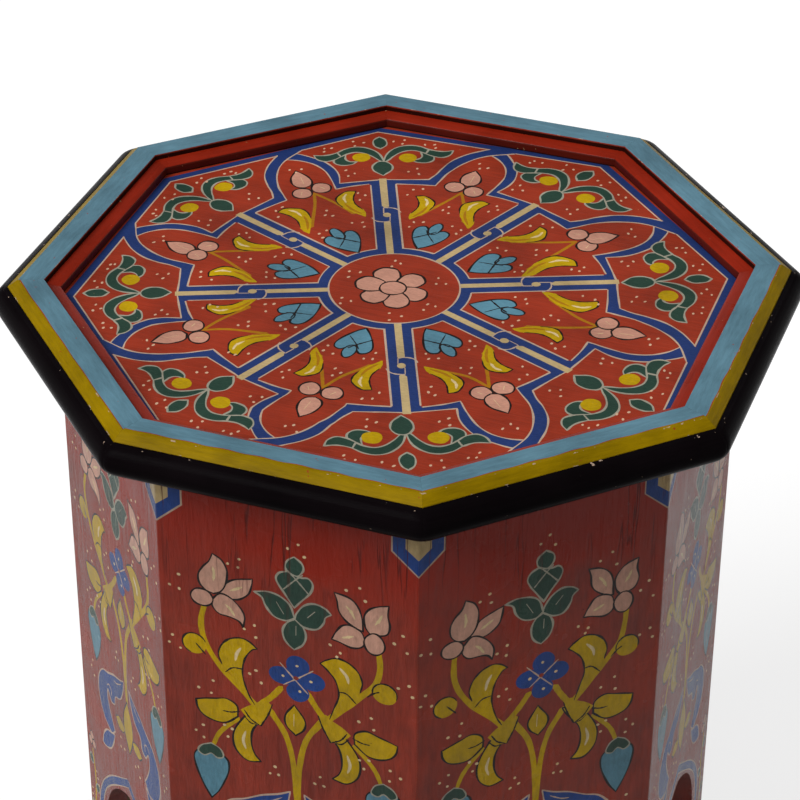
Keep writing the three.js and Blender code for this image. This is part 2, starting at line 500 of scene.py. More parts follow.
def paint_crescent(sheet, tip, end, side):
    """A yellow leaf from its tip, near the flower, to its end near the spoke."""
    flip = mirrored(side)
    marks = flip([(20, 94.5), (18, 69)])
    leaf = sheet.drawn(lambda points: matched(flip(points), marks, (tip, end)))
    leaf.fill("yellow", crescent, lined=True, waver=0.3)
    leaf.curve("yellow", [(10.5, 79), (14, 74), (18, 69)], 0.8)
    leaf.curve("yellow", [(18.6, 75.5), (18.8, 72), (18, 69)], 0.8)
    leaf.curve("ochre", [(11.4, 84), (13.2, 78), (16.8, 72)], 1.6, (0.2, 0.3))
    leaf.curve("black", [(20, 94.5), (15, 95.5), (9, 91), (8, 86), (9.6, 80.5)], 0.95, (0.9, 0.25))
    leaf.curve("black", [(20, 94.5), (17, 88), (16.5, 82), (18.6, 75.5)], 0.85, (0.9, 0.25))
    leaf.curve("shine", [(14.6, 93), (12.4, 89.5), (12.3, 84.5)], 1.5, (0.3, 0.15))


def paint_flower(sheet, left, right, middle, tip):
    """Two round petals under one pointed one."""
    sheet.lined("pink", oval(*right, 5.5, 5.8, 20))
    middle, tip = np.array(middle, float), np.array(tip, float)
    reach = np.linalg.norm(tip - middle)
    up = (tip - middle) / reach
    out = np.array([up[1], -up[0]])

    def at(side, along):
        return tuple(middle + out * side + up * along)

    sheet.lined("pink", outline(
        [at(4, -5.5), at(5.7, -1), at(4.4, 0.45 * reach), at(0, reach)],
        [at(-4.6, 0.45 * reach), at(-5.7, -1), at(-4, -5.5), at(0, -7.4)],
    ))
    sheet.line("shine", [at(0.6, -3), at(0.8, 0.4 * reach)], 1.0, (0.2, 0.2))
    sheet.lined("pink", oval(*left, 5.7, 5.6))
    sheet.line("shine", [(left[0] - 1.5, left[1] - 1.5), (left[0] + 0.5, left[1] + 1.5)], 1.0, (0.3, 0.3))
    sheet.line("shine", [(right[0] + 1.5, right[1] - 1.5), (right[0], right[1] + 1)], 1.0, (0.3, 0.3))


def paint_bud(sheet, x, y, lean, side):
    """A light blue bud of two leaves, a point and a round top, with two crossing lines."""
    grid = leaning_grid(lean)
    bud = sheet.drawn(lambda points: np.array(points, float) @ grid + (x, y))
    bud.lined("sky", outline(
        [(2.6, 4.6), (5.6, 7.4), (9, 6.2), (9.9, 2), (8, -4.5), (4.5, -11), (0.8, -15.5)],
        [(-3, -11.5), (-7.5, -5), (-9.9, 1.4), (-8.8, 5.8), (-5.6, 7.6), (-2.6, 5), (0, 1.6)],
    ))
    bud.lined("sky", oval(0.2, 7.6, 3.3, 6.2), width=0.9)
    bud.curve("black", [(-1.9 * side, 4.8), (side, 0.4), (7 * side, -7)], 0.95, (0.9, 0.5))
    bud.curve("black", [(3.6 * side, 4), (0.6 * side, 0.2), (-5.8 * side, -6)], 0.7, (0.7, 0.3))


# Each lobe: way it points, lean and lift of its bands, flower, two leaves (tip, end) and bud
lobes = (
    (-67.5, 0, -2, ((-8, 107), (3.5, 106.5), (0, 116.5), (0, 127.5)),
     ((-20, 94.5), (-18.5, 69.5)), ((18.5, 100), (18.5, 74)), (1.2, 58, 2)),
    (-22.5, 1.5, 0, ((-4, 113), (5.5, 112.5), (2, 124), (1, 134)),
     ((-22.5, 103), (-21.5, 74)), ((22, 94.5), (17, 70)), (1.2, 57.5, 0)),
    (22.5, 0, 0, ((-6.5, 112), (6, 110.5), (1.5, 120), (3.5, 131)),
     ((-22.5, 98), (-20, 71)), ((22, 96), (18.5, 65.5)), (1, 57.5, 2)),
    (67.5, 1.5, 0, ((-3.5, 111.5), (8, 109.5), (2.5, 122), (2, 133)),
     ((-20.5, 95), (-15.5, 70)), ((20.5, 100), (17.5, 71)), (0, 57, -8)),
    (112.5, 1, 0, ((-3, 112.5), (9, 113.5), (2, 125), (4, 138)),
     ((-24, 99.5), (-17.5, 71)), ((25, 101.5), (18, 74)), (-3.5, 56, 4)),
    (157.5, 0, 0, ((-4, 112), (6.5, 110), (0, 122), (3.5, 134)),
     ((-22.5, 97.5), (-19, 71)), ((22.5, 98), (18.5, 71)), (-1, 57.5, 2)),
    (-157.5, 3, 0, ((-0.5, 112), (11, 110.5), (5.5, 124), (6, 136.5)),
     ((-25, 100.5), (-16, 73)), ((27.5, 96), (20.5, 71)), (-1, 56.5, 8)),
    (-112.5, 5, -3, ((-4, 103.5), (8, 103.5), (3, 117), (4, 128.5)),
     ((-21.5, 94), (-17.5, 68)), ((20.5, 93.5), (18, 68)), (0.5, 57.5, -4)),
)


def paint_lobe(sheet, flower, left_leaf, right_leaf, bud, crossing):
    """What fills one lobe: a flower on two stems, two yellow leaves, a bud and drops."""
    left, right, middle, tip = flower
    foot = ((left[0] + right[0]) / 2, min(left[1], right[1]) - 3)
    leaves = ((left_leaf, -1), (right_leaf, 1))
    for (_, end), side in leaves:
        knee = (foot[0] + side * 5.5, foot[1] - 13)
        sheet.curve("ochre", [foot, knee, (end[0] * 0.75, end[1] + 6)], 1.8, (0.8, 1.5))
    for leaf, side in leaves:
        paint_crescent(sheet, *leaf, side)
    paint_flower(sheet, *flower)
    paint_bud(sheet, *bud, crossing)
    sheet.dots((1, 140.5), (8, 138), (3.5, 133 + tip[1] / 40))
    sheet.dots((-24, 101), (-19.5, 103.5), (-25.5, 94.5), (24.5, 99), (23, 91.5), (27, 95))
    sheet.dots((1, 89), (-1.5, 84.5), (2.5, 82.5))
    sheet.dots((-12.5, 67.5), (-8, 69.5), (-12.5, 62.5), (8.5, 70.5), (14, 68.5), (13, 63.5))


# Half of a corner spray, in the order of painting: its lobe, its leaf and its scroll
spray_shapes = (
    outline(
        [(28.4, 139.6), (28, 134.8), (24, 132.2), (18.6, 133), (15.4, 136.2)],
        [(19.4, 136.6), (21.8, 139.6), (21.4, 145.2)],
        [(25.6, 146)],
    ),
    outline(
        [(31, 145.2), (35.4, 144.6), (40, 145.2)],
        [(38.2, 140.4), (34, 137.6), (29, 138.8), (24.4, 142.6)],
        [(26.4, 147.4)],
    ),
    outline(
        [(1.6, 142.6), (4.6, 148), (9.6, 152.2), (15.6, 153.4), (21.6, 151.4), (26.4, 147.4)],
        [(24.4, 142.6)],
        [(20.6, 145.6), (15.6, 147.2), (10.4, 145.6), (6, 141.4), (3.2, 137.4), (0.5, 134.2)],
        [(-0.1, 135.2)],
    ),
)
corner_bud = outline([(4.8, -4.5), (5.6, 1), (3, 5.6), (0, 6.8)],
                     [(-3, 5.6), (-5.6, 1), (-4.8, -4.5), (0, -10)])
corner_leaf = outline([(3.7, -3), (3.2, 3.4), (0, 7)], [(-3.6, 3), (-3.5, -3.4), (0, -7.2)])


# Each corner: way it points, places of bud, small leaf and two yellow balls, and lift of the scrolls
corners_of_field = (
    (-90, (3, 127.5), (2, 156), (-14, 137), (18, 136), -3),
    (-45, (1.5, 130), (0, 160), (-14, 142), (16, 142), 2),
    (0, (1, 128), (-0.5, 157), (-12.5, 139), (15, 139.5), 0),
    (45, (1, 129), (0, 158.5), (-11.5, 141), (16, 139), 0.5),
    (90, (0.5, 130), (0.5, 158.5), (-11, 142), (15.5, 139.5), 1),
    (135, (0.5, 131), (0, 160.5), (-13.5, 142), (16, 144), 3),
    (180, (1.5, 128.5), (3, 159.5), (-11.5, 141.5), (15.5, 141), 1.5),
    (-135, (3.5, 127), (5.5, 155), (-8, 138), (18.5, 139.5), 0),
)


def paint_corner(sheet, bud, leaf, left_ball, right_ball, drop):
    """A green spray: two scrolls curled round yellow balls, and a bud and a small leaf between them."""
    shift = (left_ball[0] + right_ball[0]) / 2 - 0.5
    around = sheet.moved(by((shift, 0)))
    for side, (x, y) in ((-1, left_ball), (1, right_ball)):
        half = around.drawn(mirrored(side, drop))
        for shape in spray_shapes:
            half.lined("green", shape, "leaf_line", 0.95, 0.2)
        half.lined("yellow", oval((x - shift) * side, y - drop, 4.9, 4.7), "yellow", 0.6)
    sheet.lined("green", corner_bud + bud, "leaf_line", 0.95)
    sheet.lined("green", corner_leaf + leaf, "leaf_line", 0.95)
    for side in (-1, 1):
        half = sheet.drawn(mirrored(side))
        half.dots((15, 161), (9, 159.5), (13.5, 156), (27, 154.5), (31.5, 153.5), (32, 149.8))
        half.dots((20, 127), (15.5, 123.5), (20, 120.5))


# Half sizes of a drop of paint on the field and on a panel
field_drop = (0.72, 1.05)
panel_drop = (0.95, 0.85)


def field_sheet():
    """The painting of the top."""
    sheet = Sheet(placed_by_hand, 11, field_drop, "drop_white")
    paint_border(sheet)
    sheet.fill("blue", oval(0, 0, ring_outer, ring_outer), lined=True)
    sheet.line("pale", oval(0, 0, ring_outer + 0.3, ring_outer + 0.3), pale_width, closed=True)
    for way, lean, lift, *_ in lobes:
        paint_band(sheet.moved(field_frame(way)), lean, lift)
    for step in range(side_count):
        paint_spoke(sheet.moved(field_frame(45 * step)), 74 + step % 3)
    paint_disc(sheet)
    for step, (way, _, _, *motifs) in enumerate(lobes):
        paint_lobe(sheet.moved(field_frame(way)), *motifs, -1 if step % 2 else 1)
    for way, *motifs in corners_of_field:
        paint_corner(sheet.moved(field_frame(way)), *motifs)
    return sheet


# Motifs of a side panel: x goes to the right as seen from outside, and y up from the top of the rim

def paint_shields(sheet, half_width):
    """The blue and cream shields that wrap both corners of the body, from behind the nosing down."""
    edge = half_width + 2
    blue = [(55.3, -20), (55.3, -51), (edge, -65.5)]
    for side in (-1, 1):
        half = sheet.drawn(mirrored(side))
        half.fill("bright_blue", [*blue, (edge, -20)], lined=True)
        half.fill("cream", [(62.3, -20), (62.3, -48), (edge, -55.5), (edge, -20)])
        half.line("pale", blue, pale_width)


def paint_panel_flower(sheet, petals, round_petal):
    """A pink flower of three pointed petals and a round one."""
    for petal in petals:
        sheet.lined("dusty_pink", petal)
        middle = petal.mean(axis=0)
        tip = petal[np.argmax(np.linalg.norm(petal - middle, axis=1))]
        reach = (tip - middle) * 0.4
        sheet.curve("shine", [middle - reach * 0.7, middle + (0.6, 0.2), middle + reach], 1.5, (0.2, 0.1))
    sheet.lined("dusty_pink", oval(*round_petal))


left_petals = (
    outline([(-23.2, -88.5), (-28.9, -90.6), (-33, -94), (-37, -101.5)],
            [(-31, -102.8), (-25.7, -101.8), (-20.7, -97.5), (-18.8, -92), (-18.2, -87.2)]),
    outline([(-34.5, -80), (-32, -86), (-32.6, -93.7), (-35.7, -99.4), (-39.7, -101.9)],
            [(-44, -100.6), (-47.2, -96.9), (-47.6, -91.2), (-45.1, -86.2), (-41.4, -82), (-39.5, -76.9)]),
    outline([(-35.7, -101), (-30.1, -102.6), (-25.1, -107.5), (-23, -112.5), (-23.9, -119)],
            [(-26.4, -116), (-30.7, -114.6), (-37, -113.7), (-40.5, -110), (-40.6, -105.6)]),
)
left_round = (-46.2, -105.7, 6.1, 5.3)
right_petals = (
    outline([(32.4, -85.2), (37, -88.7), (39.6, -95), (40.4, -104.6)],
            [(36.1, -103.2), (31.1, -100), (27.6, -95), (26.7, -88.7), (25.2, -84)]),
    outline([(48, -86.9), (43.6, -90), (40.9, -95), (41.5, -101.2), (44, -105)],
            [(48.5, -105), (53, -103), (54.6, -97.5), (53.4, -91.2), (53.9, -85.2)]),
    outline([(26.1, -108.7), (29.2, -103.7), (34.2, -102.5), (39.2, -105), (41, -109)],
            [(40.8, -113), (38.4, -115.7), (34.2, -116.3), (28, -114.4), (23.4, -113.6)]),
)
right_round = (46.4, -110.9, 5.5, 6.6)


# The green spray at the head of a panel: low leaf, left and right leaf, round top and crossed bud
cluster_shapes = (
    outline([(8, -110), (9.9, -115.6), (8, -121.9), (3.4, -126)],
            [(0.3, -123.7), (-2, -120), (-2.4, -114.4), (-0.1, -109.4), (3.9, -106.6)]),
    outline([(-10.7, -92.9), (-3.2, -94.6), (1.8, -98.7), (3.9, -105.6)],
            [(-0.7, -108.7), (-7, -107.5), (-11.4, -102.5), (-13.6, -97.2), (-17.8, -94.6)]),
    outline([(19.9, -95.4), (14.2, -94.4), (8.6, -97.3), (4.9, -102.5), (4, -106.4)],
            [(9.2, -110.4), (15.5, -110), (19.5, -105), (20.6, -101), (23.6, -98.4)]),
    outline([(8.4, -71), (9, -75), (6.4, -79), (4, -80)],
            [(1.6, -79), (-0.6, -75), (0.4, -71), (4.3, -68)]),
    outline([(4, -79), (8, -79.8), (11.7, -79.4), (14, -82.5), (12.7, -87.6), (8, -93.7), (3.9, -99.6)],
            [(-0.2, -93), (-4, -87.5), (-5.7, -83.1), (-3.9, -79.6), (0.4, -77.6)],
            [(2, -78)]),
)


def paint_cluster(sheet):
    """The green spray at the head of a panel: a crossed bud over three leaves."""
    for shape in cluster_shapes:
        sheet.lined("green", shape, "leaf_line")
    sheet.curve("leaf_line", [(0.6, -77), (5, -81.4), (11.2, -88.4)], 0.8)
    sheet.curve("leaf_line", [(8.6, -78), (4.6, -82), (-1.6, -89)], 0.8)
    veins = ([(-5.7, -98), (-1.8, -104.8)], [(14.9, -99), (10.9, -103.7)], [(4.6, -110.6), (4.5, -116.5)])
    for vein in veins:
        sheet.line("leaf_line", vein, 0.9, (0.4, 0.4))


# Middle and half sizes of each round petal, the last in the middle
blue_petals = ((5.1, -135.9, 6.4, 6.3), (-3.4, -144.2, 7.2, 5.7), (12.8, -144.2, 7.1, 5.9),
               (4.9, -153, 6.2, 6.1), (4.5, -144.5, 6, 6))


def paint_blue_flower(sheet):
    """Four round blue petals under a pale cross."""
    for petal in blue_petals:
        sheet.fill("bright_blue", oval(*petal), waver=0.3)
    sheet.curve("pale", [(-4.5, -136.3), (3, -144.6), (10.5, -152.7)], 0.85, (0.6, 0.5))
    sheet.curve("pale", [(13.5, -136.9), (5.4, -143.6), (-2.7, -150)], 0.85, (0.6, 0.5))
    sheet.fill("deep_red", oval(4.1, -144.1, 1.5, 1.3))
    sheet.dots((4.5, -136), (-2.9, -144.8), (12.4, -143.8), (6.1, -152.8))


# The two sides of the upper vine. The stem starts at the foot of its flower, the leaf has a back and a belly,
# the ball hangs on a hook and is outlined over a range of degrees, and the twig lies under the blue flower.
upper_vine = {
    -1: dict(
        foot=(-44.8, -110),
        stem=[(-47, -119.5), (-46.6, -128.7), (-43.2, -138.7), (-35.7, -150), (-27, -158.7), (-18.2, -168.7)],
        back=[(-20.7, -127.7), (-25.7, -126.4), (-32, -128.7), (-36.4, -133.7), (-38.2, -140),
              (-36.4, -146.2), (-31, -152.5)],
        belly=[(-27, -159), (-19, -168), (-22.5, -161), (-25.2, -150), (-23.9, -140), (-20.1, -133),
               (-16.8, -131)],
        vein=[(-34.6, -150.7), (-30.7, -147), (-25, -146.3)],
        shine=[(-25.7, -132.8), (-28, -137), (-29, -142)],
        twig=[(-4.2, -152.6), (-9.5, -160), (-18.2, -169.4)],
        ball=(-51.4, -136.6),
        hook=[(-50.6, -136.2), (-48, -139.2), (-45.4, -142.2)],
        outlined=(20, 250),
    ),
    1: dict(
        foot=(48.6, -115),
        stem=[(49.3, -126.2), (46.8, -136.2), (39.3, -146.2), (31.8, -155), (20.5, -167.2)],
        back=[(21.1, -127.6), (26.7, -125.2), (33, -126.9), (37.7, -131.2), (39.9, -137.5), (38.6, -144),
              (33.5, -151.5)],
        belly=[(30, -158), (22, -166), (24.5, -158), (27.2, -149), (25.5, -140), (21.1, -134.2),
               (17.2, -130.8)],
        vein=[(27.3, -146.6), (31.5, -146.8), (36.6, -151.8)],
        shine=[(27.8, -131), (31.5, -135.5), (32.5, -140)],
        twig=[(10.8, -153), (14, -159), (20.5, -168.7)],
        ball=(51.8, -141.2),
        hook=[(42.5, -145.6), (45.8, -142.4), (48.6, -140.8)],
        outlined=(200, -20),
    ),
}
ball_across = 6.6
ball_along = 6.5
upper_middle = 3.3
lower_middle = 3.5


def paint_branch(sheet, side, flower_foot, ball_shift):
    """One side of the upper vine: a stem from the flower, a ball, a big leaf and a twig."""
    run = upper_vine[side]
    sheet.curve("yellow", run["twig"], 3.4, (1.0, 1.15))
    sheet.curve("yellow", [flower_foot, *run["stem"]], 3.2, (0.85, 1.3))
    horn = sheet
    if side > 0:
        horn = sheet.drawn(lambda points: np.array(points, float) * (-1, 1) + (2 * upper_middle, 0))
    horn.fill("yellow", outline([(-13.4, -163.6), (-9.6, -166.4), (-12, -173), (-16, -181)],
                                [(-20.5, -180), (-24.5, -176.4), (-27, -173.4)],
                                [(-22.5, -169.6), (-17.4, -166.8)]))
    horn.curve("black", [(-24.8, -173), (-21.4, -178), (-16.4, -181)], 0.95, (0.6, 0.6))
    horn.curve("black", [(-9.2, -165), (-11.6, -172.4), (-15.8, -181)], 0.95, (0.4, 0.9))
    back, belly = run["back"], run["belly"]
    sheet.fill("yellow", outline(back, belly), waver=0.3)
    sheet.curve("black", [belly[-1], *back[:-1]], 1.05, (0.8, 0.4))
    sheet.curve("black", belly[1:], 0.95, (0.3, 0.8))
    sheet.curve("black", run["vein"], 0.9, (0.6, 0.6))
    sheet.curve("shine", run["shine"], 1.8, (0.3, 0.15))
    x, y = run["ball"][0] + ball_shift[0], run["ball"][1] + ball_shift[1]
    sheet.fill("yellow", oval(x, y, ball_across, ball_along), waver=0.25)
    angle = np.linspace(*(math.radians(a) for a in run["outlined"]), 18)
    rim = np.stack([x + ball_across * np.cos(angle), y + ball_along * np.sin(angle)], 1)
    sheet.line("black", rim, 1.0, (0.4, 0.5))
    sheet.curve("black", np.array(run["hook"]) + ball_shift, 0.95, (0.4, 0.8))


def paint_low_vine(sheet, side, middle):
    """One side of the lower vine: leaves, a light blue drop and a blue scroll."""
    half = sheet.drawn(lambda points: (np.array(points, float) - (lower_middle, 0)) * (side, 1) + (middle, 0))
    half.curve("yellow", [(17, -170), (9, -184), (5, -204), (3.6, -233)], 3.2, (1.2, 0.9))
    half.curve("yellow", [(36, -180), (46, -192), (50.5, -203)], 2.6, (1.3, 0.7))
    half.lined("yellow", outline([(36, -171.5), (41.5, -168.2), (48, -169.8), (54, -171.6), (59, -173.2)],
                                 [(58, -178.4), (54.5, -182.8), (48, -185), (42, -184), (35.6, -178.6)]))
    half.curve("black", [(34.5, -174.8), (39.5, -176.6), (44, -176.8)], 0.9, (0.8, 0.3))
    half.lined("yellow", outline(
        [(22, -170), (30, -175), (36.5, -185), (38.6, -193), (37, -201), (31, -206.4), (23.2, -205.2)],
        [(27, -200.5), (28.6, -193), (27, -184), (20, -174), (17, -168.5)],
    ))
    half.curve("black", [(24.4, -180.4), (28.4, -180.6), (32.4, -176.4)], 0.9, (0.6, 0.6))
    half.curve("shine", [(31.5, -187), (33, -193.5), (31.6, -199)], 1.7, (0.2, 0.2))
    half.lined("sky", outline([(46, -206.5), (41.8, -211), (42.5, -220), (47, -231), (52, -238.5)],
                              [(56.5, -230), (60.2, -219), (61, -211), (57.5, -206), (51.5, -203.5)]))
    half.lined("green", outline(
        [(46.5, -203), (44.5, -208), (48, -210), (51.5, -207.6), (55.5, -209.8), (58.6, -207.4), (56, -203),
         (51.4, -200.6)],
    ), "leaf_line", 0.8)
    half.lined("bright_blue", outline(
        [(14, -224.5), (22.5, -227.5), (27, -229.8), (33.5, -233.4), (42, -237.2), (49, -246), (51, -257),
         (49, -266), (43.5, -273)],
        [(33, -276), (26.5, -270.5)],
        [(31.5, -263), (35.6, -253.5), (34.6, -246.5), (30, -251.5), (24.6, -249.6), (22.6, -243), (14, -238),
         (8.6, -228)],
        [(7.4, -221)],
    ), "pale")
    half.curve("pale", [(12, -226.4), (18.5, -230.6), (23.5, -232)], 0.8, (0.3, 0.6))
    half.curve("pale", [(36, -244), (32.5, -241.4), (29, -243.6), (29.6, -247.4)], 0.8, (0.6, 0.3))
    half.lined("bright_blue", outline([(33, -276.5), (40, -279.5), (46.5, -286), (50, -295.5)],
                                      [(43.5, -294.5), (36, -290), (31, -283), (27.5, -274)]), "pale")
    half.lined("yellow", outline([(13, -254), (19, -253.4), (24, -257)],
                                 [(19.4, -261.4), (12.6, -261), (8.6, -256.6)]), width=0.9)
    half.dots((38.6, -188), (43, -186.4), (41, -193), (55, -190), (60, -194), (55, -198))
    half.dots((16, -206), (13.6, -211), (18.6, -212), (58, -243), (61.5, -249), (57, -253))
    half.dots((17, -268), (12, -272), (18, -274.5))


def paint_arch_band(sheet):
    """A blue band with pale edges round the arch."""
    half = [(44.8, -462), (44.8, -382), (45.6, -375), (49, -366), (50.8, -354), (49, -340), (42.6, -325.6),
            (31, -313), (17, -302.4), (0, -291)]
    for paint, width in (("pale", 6.2), ("bright_blue", 4.6)):
        for side in (-1, 1):
            sheet.drawn(mirrored(side)).curve(paint, half, width)


def paint_foot_vine(sheet, side):
    """The vine down one leg, beside the arch."""
    half = sheet.drawn(mirrored(side))
    stem = [(60.5, -312), (58.4, -334), (61.6, -360), (58.6, -388), (60.5, -420)]
    half.curve("yellow", stem, 2.2, (0.6, 0.6))
    places = ((60, -322), (59, -340), (61, -358), (59, -376), (59.4, -394), (60, -410))
    for step, place in enumerate(places):
        way = -1 if step % 2 else 1
        leaf = [(2, 3.6), (5.6, 4.6), (8.2, 1.6), (5.8, -1.4), (2.6, -1.8), (0, 0)]
        leaf = np.array(leaf) * (0.8 * way, 1) + place
        half.lined("green", outline(leaf[:3], leaf[3:]), "leaf_line", 0.8)
    for angle in (90, 210, 330):
        a = math.radians(angle)
        half.lined("dusty_pink", oval(60.2 + 3.1 * math.cos(a), -305 + 3.1 * math.sin(a), 3, 3), width=0.8)
    half.lined("sky", outline([(56.8, -424), (57.4, -431), (60.6, -438)],
                              [(64, -431), (64.6, -424), (60.6, -419)]))
    half.dots((54.6, -330), (53.8, -335), (56.4, -326), (66, -350), (66.4, -356), (65.6, -345))
    half.dots((53, -390), (52.2, -396), (54, -402), (66.2, -402), (66.2, -408), (65.6, -396))


# Each panel: shifts of its left flower, right flower, green spray, blue flower, left vine and right vine
panel_shifts = {
    1: ((1, -11), (4, -14), (-3, -5), (-3, -5), (2, -9), (4, -8)),
    2: ((0, -2), (1, -3), (-2, 0), (-1, -1), (0, -2), (0, -1)),
    3: ((1, 0), (-1, -2), (0, -1), (1, 1), (1, -1), (0, 1)),
    4: ((-1, -3), (0, 1), (-3, 0), (-3, -2), (-1, -1), (-1, -2)),
    5: ((2, 1), (1, 0), (-1, 1), (-2, 0), (1, 1), (0, 0)),
    6: ((5, 6), (1, 5), (1, 7), (2.5, 6), (4, 5), (1, 4)),
    7: ((0, 0), (0, 0), (0, 0), (0, 0), (0, 0), (0, 0)),
    8: ((-4, -9), (0, -4.5), (-3.7, -1), (-3.4, -3.6), (-2.2, -5), (-1.6, -5)),
}
# Further shifts of the balls of the left and right vine, where a panel has them
ball_shifts = {8: ((0, -8.5), (0, 1.5))}


def panel_sheet(number, half_width):
    """The painting of one side panel."""
    shifts = [np.array(shift, float) for shift in panel_shifts[number]]
    left_flower, right_flower, spray, flower, left_vine, right_vine = shifts
    left_ball, right_ball = ball_shifts.get(number, ((0, 0), (0, 0)))
    sheet = Sheet(by((0, stool_height)), 100 + number, panel_drop, "shine")
    paint_shields(sheet, half_width)
    lower = sheet.moved(by((0, (left_vine[1] + right_vine[1]) / 2)))
    paint_arch_band(sheet)
    for side in (-1, 1):
        paint_low_vine(lower, side, lower_middle + flower[0])
        paint_foot_vine(sheet, side)
    between = lower.moved(by((flower[0], 0)))
    between.lined("yellow", outline([(8.6, -171), (8, -177), (3.4, -182)],
                                    [(-1.6, -177), (-2.4, -170.6), (2.8, -162)]))
    between.line("shine", [(2.6, -168), (2.4, -176)], 1.6, (0.2, 0.2))
    between.lined("yellow", outline([(9.6, -245), (9.4, -257), (3.5, -270)],
                                    [(-3, -257), (-3, -245), (3.7, -232)]))
    sides = ((-1, left_vine, left_flower, left_ball), (1, right_vine, right_flower, right_ball))
    for side, vine, bloom, ball in sides:
        foot = np.array(upper_vine[side]["foot"]) + bloom - vine
        paint_branch(sheet.moved(by(vine)), side, foot, ball)
    paint_blue_flower(sheet.moved(by(flower)))
    paint_cluster(sheet.moved(by(spray)))
    paint_panel_flower(sheet.moved(by(left_flower)), left_petals, left_round)
    paint_panel_flower(sheet.moved(by(right_flower)), right_petals, right_round)
    for shift, places in (
        (spray, ((6.5, -59.4), (0.9, -63.4), (9.5, -66.2))),
        (left_flower, ((-25.7, -76.9), (-31.1, -80.4), (-25.5, -82.1), (-57.9, -94.5), (-64, -102.7),
                       (-58.2, -103.5))),
        (right_flower, ((38.6, -77.5), (31.7, -80.7), (41.1, -85.2), (61.2, -102.1), (56.7, -107.1),
                        (63.4, -112.2))),
        (left_vine, ((-17.7, -116.5), (-23.5, -120.4), (-17.2, -123.4), (-62.9, -133.9), (-65.5, -140),
                     (-59.5, -141.6), (-17.2, -145), (-21.4, -148.7), (-15.1, -152.7), (-42.2, -158.7),
                     (-50, -165), (-42.6, -166.9))),
        (right_vine, ((22.6, -117.9), (28, -121), (26.9, -124), (64.9, -132.2), (58.5, -135.2),
                      (66.1, -139.4), (45.2, -158.7), (38, -163.1), (46, -166))),
    ):
        sheet.moved(by(shift)).dots(*places)
    return sheet


# Materials

# Heights in metres over which the painted shade under the rim fades out on a panel's red, and how ragged that
# border is
under_rim_shade_heights = (0.385, 0.445)
under_rim_shade_ragged = 0.09
# Noise levels between which a crack fades out, and between which places begin to crack
crack_line = (0.002, 0.018)
cracked_places = (0.42, 0.54)
# How much more the cracks show under the rim, how much they show elsewhere, and how deep they cut
cracks_under_rim = 0.72
cracks_elsewhere = 0.05
crack_depth = 0.35
# How high the swells of a panel's paint stand beside its streaks
swell_height = 1.6
# Soft edge and cover of a worn speck
speck_edge = 0.02
speck_cover = 0.8
# Levels of streaks and clouds between which paint turns from dark to light, and of clouds for its gloss
dark_to_light = (0.7, 1.3)
gloss_clouds = (0.3, 0.7)


def colour(name):
    """A paint's colour as linear light."""
    text = paints[name].lstrip("#")
    parts = [int(text[i:i + 2], 16) / 255 for i in (0, 2, 4)]
    return tuple(c / 12.92 if c <= 0.04045 else ((c + 0.055) / 1.055) ** 2.4 for c in parts)


class Nodes:
    """Short names for building a material's nodes."""
    def __init__(self, name):
        self.material = bpy.data.materials.new(name)
        self.material.use_nodes = True
        self.tree = self.material.node_tree
        self.shader = next(n for n in self.tree.nodes if n.type == "BSDF_PRINCIPLED")

    def add(self, kind, inputs=None, **settings):
        node = self.tree.nodes.new(kind)
        for key, value in settings.items():
            setattr(node, key, value)
        for key, value in (inputs or {}).items():
            if isinstance(value, bpy.types.NodeSocket):
                self.tree.links.new(value, node.inputs[key])
            else:
                node.inputs[key].default_value = value
        return node

    def link(self, socket, name):
        self.tree.links.new(socket, self.shader.inputs[name])


def grained(nodes, stretch, steps=0):
    """Coordinates that stretch the grain along one direction, turned by so many sides of the octagon."""
    place = nodes.add("ShaderNodeTexCoord").outputs["Object"]
    if steps:
        settings = {"Vector": place, "Angle": -steps * turn}
        place = nodes.add("ShaderNodeVectorRotate", settings, rotation_type="Z_AXIS").outputs[0]
    return nodes.add("ShaderNodeMapping", {"Vector": place, "Scale": stretch}).outputs["Vector"]


def noise(nodes, place, scale, detail, roughness=0.55):
    """A noise level from 0 to 1."""
    settings = {"Vector": place, "Scale": scale, "Detail": detail, "Roughness": roughness}
    return nodes.add("ShaderNodeTexNoise", settings).outputs["Fac"]


def rising(nodes, value, start, stop, low=0.0, high=1.0):
    """The value stretched so that start gives low and stop gives high, and held beyond them."""
    settings = {"Value": value, "From Min": start, "From Max": stop, "To Min": low, "To Max": high}
    return nodes.add("ShaderNodeMapRange", settings).outputs["Result"]


def reckon(nodes, operation, *values):
    """The result of a sum."""
    return nodes.add("ShaderNodeMath", dict(enumerate(values)), operation=operation).outputs[0]


def blend(nodes, share, first, second):
    """One colour over another."""
    return nodes.add("ShaderNodeMix", {0: share, 6: first, 7: second}, data_type="RGBA").outputs[2]


def under_rim(nodes, place, clouds):
    """One under the overhanging rim, where a panel's red takes a painted shade and cracks show more, and
    nothing further down.
    """
    height = nodes.add("ShaderNodeSeparateXYZ", {0: place}).outputs["Z"]
    ragged = reckon(nodes, "MULTIPLY_ADD", clouds, under_rim_shade_ragged, height)
    return rising(nodes, ragged, *under_rim_shade_heights)


def cracks(nodes, place, steps):
    """Thin wavering cracks along the grain, in some places only."""
    drawn_out = noise(nodes, grained(nodes, (95, 95, 5), steps), 1.0, 3.0)
    off_middle = reckon(nodes, "ABSOLUTE", reckon(nodes, "SUBTRACT", drawn_out, 0.5))
    lines = rising(nodes, off_middle, *crack_line, 1, 0)
    places = rising(nodes, noise(nodes, place, 23.0, 3.0), *cracked_places)
    return reckon(nodes, "MULTIPLY", lines, places)


